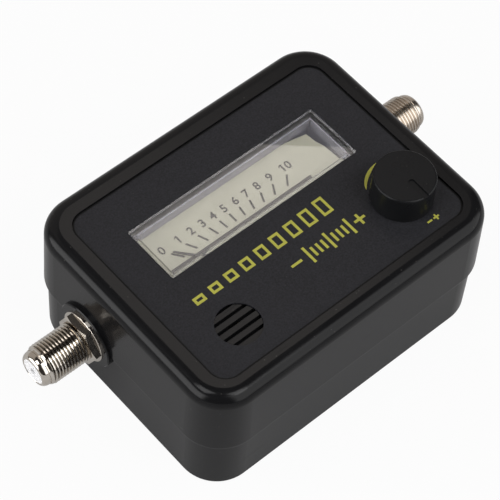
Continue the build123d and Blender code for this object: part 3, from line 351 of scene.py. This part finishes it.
def threaded_barrel():
    """The barrel's turned outline, then one long ridge run along it as the rolled thread."""
    nose = [(53.7, 4.2), (54.1, 4.16), (54.45, 4.06), (54.75, 3.92), (54.98, 3.76), (55.16, 3.57)]
    shape = turned([
        (barrel_back, 4.05), (30.7, 4.2), (34.15, 4.2), (34.15, 6.35), (34.3, 6.5), (36.35, 6.5),
        (36.35, 4.5625), (nut_front - 0.2, 4.5625), (nut_front - 0.2, thread_root),
        (runout_end, thread_root), (runout_end, 4.08), (53.7, 4.08), *nose, (barrel_tip, 3.35),
        (barrel_tip, 3.15), (55.15, barrel_bore), (barrel_back, barrel_bore),
    ])
    # The ridge starts under the nut, its foot sunk in the barrel and its crest left flat.
    start, turns, steps = nut_front - 0.3, 12.35, 40
    foot, flat, sunk = 0.43, 0.12, thread_root - 0.12
    section = ((-foot, sunk), (-flat, thread_crest), (flat, thread_crest), (foot, sunk))
    ring = [shape.verts.new((start + x, 0, r)) for x, r in section]
    face = shape.faces.new(ring)
    bmesh.ops.spin(
        shape, geom=[*ring, *face.edges, face], cent=(0, 0, 0), axis=(1, 0, 0),
        dvec=(thread_pitch / steps, 0, 0), angle=2 * pi * turns, steps=int(steps * turns),
        use_duplicate=False,
    )
    # At the run-out the crest sinks towards the groove behind the nose.
    for corner in shape.verts:
        spoke = Vector((0, corner.co.y, corner.co.z))
        most = thread_crest - max(0, corner.co.x - runout_start) * runout_slope
        if runout_start < corner.co.x < runout_end and spoke.length > most:
            corner.co -= spoke * (1 - most / spoke.length)
    bmesh.ops.recalc_face_normals(shape, faces=shape.faces)
    return shape


# The right barrel's plating has dulled all over; the left one has painted shade in its thread's roots.
for side, mirror, plating in (("left", True, connector_nickel), ("right", False, dull_nickel)):
    barrel = piece(
        f"{side}_threaded_barrel", threaded_barrel(), plating, "case",
        move=(0, connector_y, seam_height), mirror=mirror,
    )
    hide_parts(f"{side}_barrel")
    dress(nut_nickel, f"{side}_nut")
    dress(connector_nickel, f"{side}_washer")
    dress(insulator_white, f"{side}_mouth_insulator", f"{side}_rear_insulator")
    dress(contact_tin, f"{side}_contact")


# ---------------------------------------------------------------- Sensitivity control
# A small carbon-track control on the board: a moulded housing with a diecast bushing, a
# steel shaft, and a wiper that rides on the track as the knob turns.

pot_plastic = finish("pot_plastic", (0.16, 0.07, 0.03), (0.2, 0.09, 0.035), 2, 0.4, 0.1, 0.2, 5)
diecast = finish("diecast", 0.42, 0.36, 1.5, 0.38, 0.15, 0.15, 6, metallic=1.0)
shaft_steel = finish("shaft_steel", 0.5, 0.44, 1.5, 0.22, 0.1, 0.1, 1.5, scratches=0.6, metallic=1.0)
rotor_plastic = finish("rotor_plastic", (0.6, 0.58, 0.52), (0.54, 0.52, 0.46), 1.5, 0.42, 0.1, 0.2, 4)
track_carbon = finish("track_carbon", 0.016, 0.022, 0.8, 0.55, 0.15, 0.08, 6)
tinned = finish("tinned", (0.66, 0.65, 0.62), (0.54, 0.53, 0.5), 0.7, 0.28, 0.15, 0.12, 2, metallic=1.0)
dress(pot_plastic, "pot_housing")
dress(diecast, "pot_bushing")
dress(shaft_steel, "pot_shaft")
dress(rotor_plastic, "pot_wiper")
dress(track_carbon, "pot_track")
dress(tinned, "pot_terminals", "sounder_leads", "meter_pins")


# ---------------------------------------------------------------- Sounder
# A black moulded can with a thin metal disc in its mouth, glued in the ring that is
# moulded under the grille.

sounder_plastic = finish("sounder_plastic", 0.01, 0.014, 3, 0.35, 0.1, 0.25, 4)
disc_metal = finish(
    "disc_metal", (0.6, 0.5, 0.3), (0.52, 0.43, 0.25), 1.5, 0.25, 0.12, 0.15, 2, metallic=1.0,
)
dress(sounder_plastic, "sounder_case")
dress(disc_metal, "sounder_disc")


# ---------------------------------------------------------------- Meter movement
# A core-magnet movement: the coil turns round a fixed magnet inside a soft iron ring, on
# pivots between jewel screws, against two flat hairsprings that also feed it.

meter_tray = finish("meter_tray", (0.3, 0.3, 0.34), (0.27, 0.27, 0.31), 6, 0.34, 0.1, 0.3, 3)
weight_metal = finish(
    "weight_metal", (0.55, 0.42, 0.2), (0.48, 0.36, 0.17), 1, 0.3, 0.1, 0.1, 2, metallic=1.0,
)
spindle_steel = finish("spindle_steel", 0.55, 0.48, 0.5, 0.15, 0.1, 0.08, 1, metallic=1.0)
former_aluminium = finish("former_aluminium", 0.62, 0.56, 1.2, 0.3, 0.12, 0.12, 2, metallic=1.0)
magnet = finish("magnet", 0.12, 0.09, 1.5, 0.3, 0.15, 0.12, 4, scratches=0.4, metallic=1.0)
soft_iron = finish("soft_iron", 0.34, 0.28, 2, 0.36, 0.15, 0.15, 5, scratches=0.4, metallic=1.0)
bridge_brass = finish(
    "bridge_brass", (0.62, 0.42, 0.15), (0.55, 0.36, 0.12), 1.5, 0.26, 0.12, 0.15, 2, metallic=1.0,
)
jewel_brass = finish(
    "jewel_brass", (0.66, 0.47, 0.18), (0.58, 0.4, 0.15), 0.8, 0.2, 0.1, 0.1, 2, metallic=1.0,
)
spring_bronze = finish(
    "spring_bronze", (0.6, 0.3, 0.12), (0.52, 0.25, 0.1), 0.8, 0.22, 0.1, 0.1, 1, metallic=1.0,
)
dress(meter_tray, "meter_body")
dress(weight_metal, "balance_weight")
dress(spindle_steel, "upper_spindle", "lower_spindle")
dress(former_aluminium, "coil_former")
dress(magnet, "core_magnet")
dress(soft_iron, "yoke_ring")
dress(bridge_brass, "pivot_bridge")
dress(jewel_brass, "upper_jewel_screw", "lower_jewel_screw")
dress(spring_bronze, "upper_hairspring", "lower_hairspring")


# ---------------------------------------------------------------- Needle
# Thin aluminium sheet, stamped with its crank and painted matt black. It is held by its
# hub on the upper spindle.

pointer_black = finish("pointer_black", 0.01, 0.014, 1, 0.5, 0.1, 0.1, 3)
dress(pointer_black, "pointer")


# ---------------------------------------------------------------- Dial
# Aluminium sheet painted a warm beige, with its far corner cut away. The scale is
# printed in black: eleven marks that point at the pivot, their numbers and a thick line.

dial_paint = finish("dial_paint", (0.345, 0.34, 0.256), (0.317, 0.313, 0.235), 9, 0.5, 0.08, 0.12, 3)
dial_ink = finish("dial_ink", 0.006, 0.012, 0.7, 0.55, 0.1, 0.06, 3)
dress(dial_paint, "dial_plate")
dial_top, ink_thickness = 30.9, 0.03


def bar(shape, length, width, turn, x, y, z, thickness=ink_thickness):
    """A printed stroke lying flat, its middle at x, y and its length turned by degrees."""
    made = bmesh.ops.create_cube(shape, size=1)["verts"]
    bmesh.ops.scale(shape, vec=(length, width, thickness), verts=made)
    place = Matrix.Translation((x, y, z + thickness / 2)) @ Matrix.Rotation(radians(turn), 4, "Z")
    bmesh.ops.transform(shape, matrix=place, verts=made)


def flattened(curve, z, x=0, y=0):
    """A flat curve as a closed bmesh that stands on a height, moved to x, y."""
    holder = bpy.data.objects.new(curve.name, curve)
    mesh = bpy.data.meshes.new_from_object(holder)
    bpy.data.objects.remove(holder)
    shape = bmesh.new()
    shape.from_mesh(mesh)
    bpy.data.meshes.remove(mesh)
    bmesh.ops.remove_doubles(shape, verts=shape.verts, dist=1e-5)
    bmesh.ops.recalc_face_normals(shape, faces=shape.faces)
    bmesh.ops.translate(shape, vec=(x, y, z + curve.extrude), verts=shape.verts)
    return shape


def lettering(text, size, x, y, z):
    """A number, centred on x, y, with its height as size and its strokes a little thickened."""
    curve = bpy.data.curves.new("number", "FONT")
    curve.body, curve.size, curve.offset = text, size / 0.72, 0.055
    curve.align_x, curve.align_y = "CENTER", "CENTER"
    curve.extrude, curve.resolution_u = ink_thickness / 2, 5
    return flattened(curve, z, x, y)


def join(shapes):
    """Several bmeshes as one."""
    whole = bmesh.new()
    for shape in shapes:
        mesh = bpy.data.meshes.new("part")
        shape.to_mesh(mesh)
        shape.free()
        whole.from_mesh(mesh)
        bpy.data.meshes.remove(mesh)
    return whole


# The marks lie on lines that fan out from one point under the label.
marks = bmesh.new()
fan_x, fan_y, fan_start, fan_step = -4.6, -14.8, 126.2, 7.37
mark_inner, mark_outer, mark_width = 4.48, 6.85, 0.46
for count in range(11):
    slant = fan_start - fan_step * count
    rise = (mark_inner + mark_outer) / 2 - fan_y
    length = (mark_outer - mark_inner) / sin(radians(slant))
    x = fan_x + rise * cos(radians(slant)) / sin(radians(slant))
    bar(marks, length, mark_width, slant, x, rise + fan_y, dial_top)
line_length, line_width, line_x, line_y = 39.1, 0.87, -3.65, 3.17
bar(marks, line_length, line_width, 0, line_x, line_y, dial_top)
piece("dial_marks", marks, dial_ink, "case", smooth=0)

number_height, number_y = 2.05, 8.6
number_x = (-21.55, -16.96, -13.51, -10.38, -7.41, -4.35, -1.21, 1.85, 4.99, 8.63, 13.21)
numbers = join([
    lettering(str(count), number_height, x, number_y, dial_top) for count, x in enumerate(number_x)
])
# Each 1 gets a longer flag, a little thinner so that it lies inside the digit's ink.
for stem in (number_x[1], number_x[10] - 0.705):
    bar(numbers, 0.62, 0.26, 40, stem - 0.4, 9.43, dial_top, thickness=0.8 * ink_thickness)
piece("dial_numbers", numbers, dial_ink, "case", smooth=0)


# ---------------------------------------------------------------- Meter cover
# Clear moulded polystyrene over the whole movement. Its raised pane fills the window of
# the case and stands just proud of the recess under the label.

pane_centre, frosted_from = (0.27, 7.7, 0), (25.3, 6.85)
cover_clear = finish(
    "cover_clear", (0.93, 0.93, 0.95), (0.9, 0.9, 0.93), 12, 0.0, 0.02, 0.6, 0.05,
    scratches=0.15, transmission_weight=1.0, ior=1.49,
)
tree = cover_clear.node_tree
surface, skin, out = (tree.nodes[name] for name in ("surface", "skin", "out"))

# Light from the lamps reaches the dial straight through the pane.
lamplight = add(tree, "ShaderNodeBsdfTransparent", {"Color": (0.92, 0.92, 0.93, 1)})
shadow_ray = add(tree, "ShaderNodeLightPath").outputs["Is Shadow Ray"]
mixed = add(tree, "ShaderNodeMixShader", {0: shadow_ray, 1: skin.outputs[0], 2: lamplight.outputs[0]})
tree.links.new(mixed.outputs[0], out.inputs["Surface"])

# The pane's outer sides are frosted. They are upright, and they lie beyond its hollow.
normal = add(tree, "ShaderNodeNewGeometry").outputs["True Normal"]
level = sums(tree, "ABSOLUTE", add(tree, "ShaderNodeSeparateXYZ", {"Vector": normal}).outputs[2])
aside = add(tree, "ShaderNodeSeparateXYZ", {"Vector": millimetres(tree, centre=pane_centre)}).outputs
beyond = [
    sums(tree, "GREATER_THAN", sums(tree, "ABSOLUTE", aside[axis]), frosted_from[axis]) for axis in (0, 1)
]
frosted = sums(tree, "MULTIPLY", between(tree, level, 0.6, 0.3), sums(tree, "MAXIMUM", *beyond))
rough = sums(tree, "ADD", surface.outputs["Roughness"], sums(tree, "MULTIPLY", frosted, 0.45))
tree.links.new(rough, skin.inputs["Roughness"])
dress(cover_clear, "meter_cover")


# ---------------------------------------------------------------- Window liner
# A strip of grey card bent round the back and the right end of the pane's hollow, where
# it stands on the dial.

liner_grey = finish(
    "liner_grey", (0.215, 0.212, 0.235), (0.19, 0.188, 0.21), 4, 0.6, 0.08, 0.2, 6, specular_ior_level=0.3,
)
dress(liner_grey, "window_liner")


# ---------------------------------------------------------------- Upper shell
# The glossy black top of the case, moulded with the label's recess, the window, the
# grille's slots and half of each connector boss. Four screws hold it from below.

dress(case_plastic, "upper_shell")


# ---------------------------------------------------------------- Label
# A film of black polycarbonate, fine-grained on its face, printed in olive yellow and
# glued in the recess. Its marks are generic: a level graph, a minus to plus scale and
# a wedge that swells round the knob.

label_centre, label_half, label_corner, label_top = (0.27, -0.46, 0), (34.7, 25.4), 4.1, 34.9
label_film = finish(
    "label_film", (0.0105, 0.0105, 0.0122), (0.012, 0.012, 0.0138), 10, 0.5, 0.06, 0.16, 14,
    dust=0.08, specular_ior_level=0.2,
)


def grained_film(tree, film):
    """The grain of the film's matt side, and painted shade of the recess's gap round its edge, which has
    no grain.
    """
    spots = between(tree, noise(tree, millimetres(tree), 2.6, 3.0, Roughness=0.7), 0.35, 0.7)
    grained = blend(tree, spots, film, (0.022, 0.022, 0.026, 1))
    # How far each place lies past the rectangle that joins the centres of the corners.
    inner = [half - label_corner for half in label_half] + [1000.0]
    past = millimetres(tree, centre=label_centre)
    for operation, other in (("ABSOLUTE", (0, 0, 0)), ("SUBTRACT", inner), ("MAXIMUM", (0, 0, 0))):
        past = add(tree, "ShaderNodeVectorMath", {0: past, 1: other}, operation=operation).outputs[0]
    past = add(tree, "ShaderNodeVectorMath", {0: past}, operation="LENGTH").outputs["Value"]
    # Painted shade: the film's outer few tenths of a millimetre are coloured near black, like the gap's
    # shadow.
    edge_shade = between(tree, past, label_corner - 0.38, label_corner - 0.26)
    return blend(tree, edge_shade, grained, (0.0015, 0.0015, 0.0015, 1))


recolour(label_film, grained_film)
label_ink = finish("label_ink", (0.37, 0.36, 0.05), (0.32, 0.31, 0.045), 1.5, 0.5, 0.08, 0.14, 8)
dress(label_film, "label_panel")


def hollow_bar(shape, x, foot, height, width, stroke):
    """An outlined upright bar of the level graph, its four strokes set end to side."""
    for low in (foot, foot + height - stroke):
        bar(shape, width, stroke, 0, x, low + stroke / 2, label_top)
    for way in (-1, 1):
        side_x = x + way * (width - stroke) / 2
        bar(shape, height - 2 * stroke, stroke, 90, side_x, foot + height / 2, label_top)


def plus(shape, x, y, length, stroke):
    """A plus sign: one stroke across, and two that end at its sides."""
    bar(shape, length, stroke, 0, x, y, label_top)
    arm = (length - stroke) / 2
    for way in (-1, 1):
        bar(shape, arm, stroke, 90, x, y + way * (arm + stroke) / 2, label_top)


print_marks = bmesh.new()
print_stroke, small_stroke = 0.62, 0.42
graph_foot, graph_left, graph_pitch, graph_low, graph_rise = -8.1, -24.65, 4.4, 1.9, 2.6
for count in range(9):
    height = graph_low + graph_rise * count / 8
    hollow_bar(print_marks, graph_left + graph_pitch * count, graph_foot, height, 2.7, print_stroke)

scale_middle, scale_left, scale_pitch = -13.2, 0.1, 1.45
bar(print_marks, 2.9, print_stroke, 0, -3.3, scale_middle, label_top)
for count in range(9):
    tall = 4.5 if count in (0, 4, 8) else 2.5
    bar(print_marks, tall, print_stroke, 90, scale_left + count * scale_pitch, scale_middle, label_top)
plus(print_marks, 14.5, scale_middle, 2.9, print_stroke)

knob_signs_y = -23.05
bar(print_marks, 1.3, small_stroke, 0, 25.7, knob_signs_y, label_top)
plus(print_marks, 27.55, knob_signs_y, 1.5, small_stroke)
piece("label_marks", print_marks, label_ink, "case", smooth=0)

# Level wedge: one printed sliver, drawn with two curves that meet in points by the knob.
curve = bpy.data.curves.new("wedge", "CURVE")
curve.dimensions, curve.fill_mode, curve.extrude, curve.resolution_u = "2D", "BOTH", ink_thickness / 2, 16
rim = curve.splines.new("BEZIER")
rim.bezier_points.add(1)
rim.use_cyclic_u = True
wedge_ends = (
    ((20.78, -8.62), (22.4, -6.75), (20.72, -7.77)),
    ((27.32, -4.65), (22.63, -4.75), (24.6, -5.75)),
)
for point, (tip, before, after) in zip(rim.bezier_points, wedge_ends):
    point.co, point.handle_left, point.handle_right = (*tip, 0), (*before, 0), (*after, 0)
piece("level_wedge", flattened(curve, label_top), label_ink, "case", smooth=0)


# ---------------------------------------------------------------- Knob
# Moulded in satin black and pressed on the flat of the shaft. Its pointer is a slot in
# the top that stops short of the middle.

knob_plastic = finish(
    "knob_plastic", (0.0062, 0.0064, 0.0072), (0.008, 0.0082, 0.009), 4, 0.26, 0.07, 0.25, 3,
    scratches=0.2, dust=0.05, specular_ior_level=0.15,
)
dress(knob_plastic, "knob")


# ---------------------------------------------------------------- Floor, light, camera
# A plain white table in a dim tent, lit by three square softboxes and three bright screens
# that the gloss of the case and of the nickel shows. It is seen from above the front left
# corner.

# The table looks white to the camera and through the pane, and faintly so in glossy
# surfaces. To all other light it is a pale matt board, which keeps the shadow.
white_table = bpy.data.materials.new("white_table")
white_table.use_nodes = True
tree = white_table.node_tree
tree.nodes.clear()
path = add(tree, "ShaderNodeLightPath").outputs
table_white, table_in_gloss = 0.95, 0.15
mirrored = sums(tree, "MULTIPLY", path["Is Glossy Ray"], table_in_gloss)
seen = sums(tree, "MAXIMUM", mirrored, path["Is Transmission Ray"])
seen = sums(tree, "MAXIMUM", path["Is Camera Ray"], seen)
seen = sums(tree, "MULTIPLY", seen, table_white)
table = add(tree, "ShaderNodeBsdfDiffuse", {"Color": (0.5, 0.5, 0.505, 1)})
glow = add(tree, "ShaderNodeEmission", {"Color": (1, 1, 1, 1), "Strength": 1.0})
mixed = add(tree, "ShaderNodeMixShader", {0: seen, 1: table.outputs[0], 2: glow.outputs[0]})
add(tree, "ShaderNodeOutputMaterial", {"Surface": mixed.outputs[0]})

floor = bmesh.new()
bmesh.ops.create_grid(floor, x_segments=1, y_segments=1, size=3.0)
floor_mesh = bpy.data.meshes.new("floor")
floor.to_mesh(floor_mesh)
floor.free()
floor = bpy.data.objects.new("floor", floor_mesh)
floor_mesh.materials.append(white_table)
bpy.context.scene.collection.objects.link(floor)

world = bpy.data.worlds.new("studio")
bpy.context.scene.world = world
world.use_nodes = True
tree = world.node_tree
tree.nodes.clear()
place = add(tree, "ShaderNodeTexCoord").outputs["Generated"]
way = add(tree, "ShaderNodeSeparateXYZ", {"Vector": place}).outputs


def screen(*limits, level):
    """A soft-edged bright part of the tent, from limits on the direction's x, y or z."""
    strength = level
    for axis, dark, bright in limits:
        edge = between(tree, way[axis], dark, bright, interpolation_type="SMOOTHSTEP")
        strength = sums(tree, "MULTIPLY", edge, strength)
    return strength


# Three screens stand round the table, and all the rest of the tent is nearly dark.
front_screen = screen((1, -0.22, -0.34), (0, -0.3, -0.1), (2, 0.91, 0.81), (2, 0.02, 0.12), level=2.0)
left_screen = screen((0, -0.5, -0.68), (1, -0.3, -0.1), (2, 0.7, 0.56), (2, 0.02, 0.12), level=4.0)
back_screen = screen((1, 0.2, 0.36), (0, -0.5, -0.3), (2, 0.86, 0.8), level=0.4)
tent_glow = 0.04
white_level = sums(tree, "ADD", front_screen, left_screen)
warm_level = sums(tree, "ADD", back_screen, tent_glow)
white_light = add(tree, "ShaderNodeBackground", {"Color": (1, 1, 1, 1), "Strength": white_level})
warm_light = add(tree, "ShaderNodeBackground", {"Color": (1, 0.92, 0.85, 1), "Strength": warm_level})
light = add(tree, "ShaderNodeAddShader", {0: white_light.outputs[0], 1: warm_light.outputs[0]})
add(tree, "ShaderNodeOutputWorld", {"Surface": light.outputs[0]})


def softbox(name, towards, size, radiance, colour=(1, 1, 1)):
    """A square lamp 1.3 m off in a direction, turned to the object, as bright as its radiance."""
    lamp = bpy.data.lights.new(name, "AREA")
    lamp.shape, lamp.size, lamp.color = "SQUARE", size, colour
    lamp.energy = radiance * pi * size * size
    made = bpy.data.objects.new(name, lamp)
    made.location = Vector(towards).normalized() * 1.3
    made.rotation_euler = Vector(towards).to_track_quat("Z", "Y").to_euler()
    bpy.context.scene.collection.objects.link(made)


softbox("back_softbox", (0.32, 0.36, 0.875), 0.34, 1.75, (1, 0.93, 0.87))
softbox("left_softbox", (-0.42, 0.08, 0.9), 0.5, 4.4)
softbox("front_softbox", (0.1, -0.45, 0.885), 0.5, 4.4)

camera = bpy.data.cameras.new("camera")
camera.lens, camera.sensor_width, camera.sensor_fit = 153.868, 36, "HORIZONTAL"
camera.clip_start, camera.clip_end = 0.05, 10
view = bpy.data.objects.new("camera", camera)
view.location = (-0.185168, -0.177787, 0.405226)
view.rotation_euler = (radians(33.625191), radians(-2.962827), radians(-41.086146))
bpy.context.scene.collection.objects.link(view)
bpy.context.scene.camera = view
bpy.context.scene.view_settings.view_transform = "Standard"
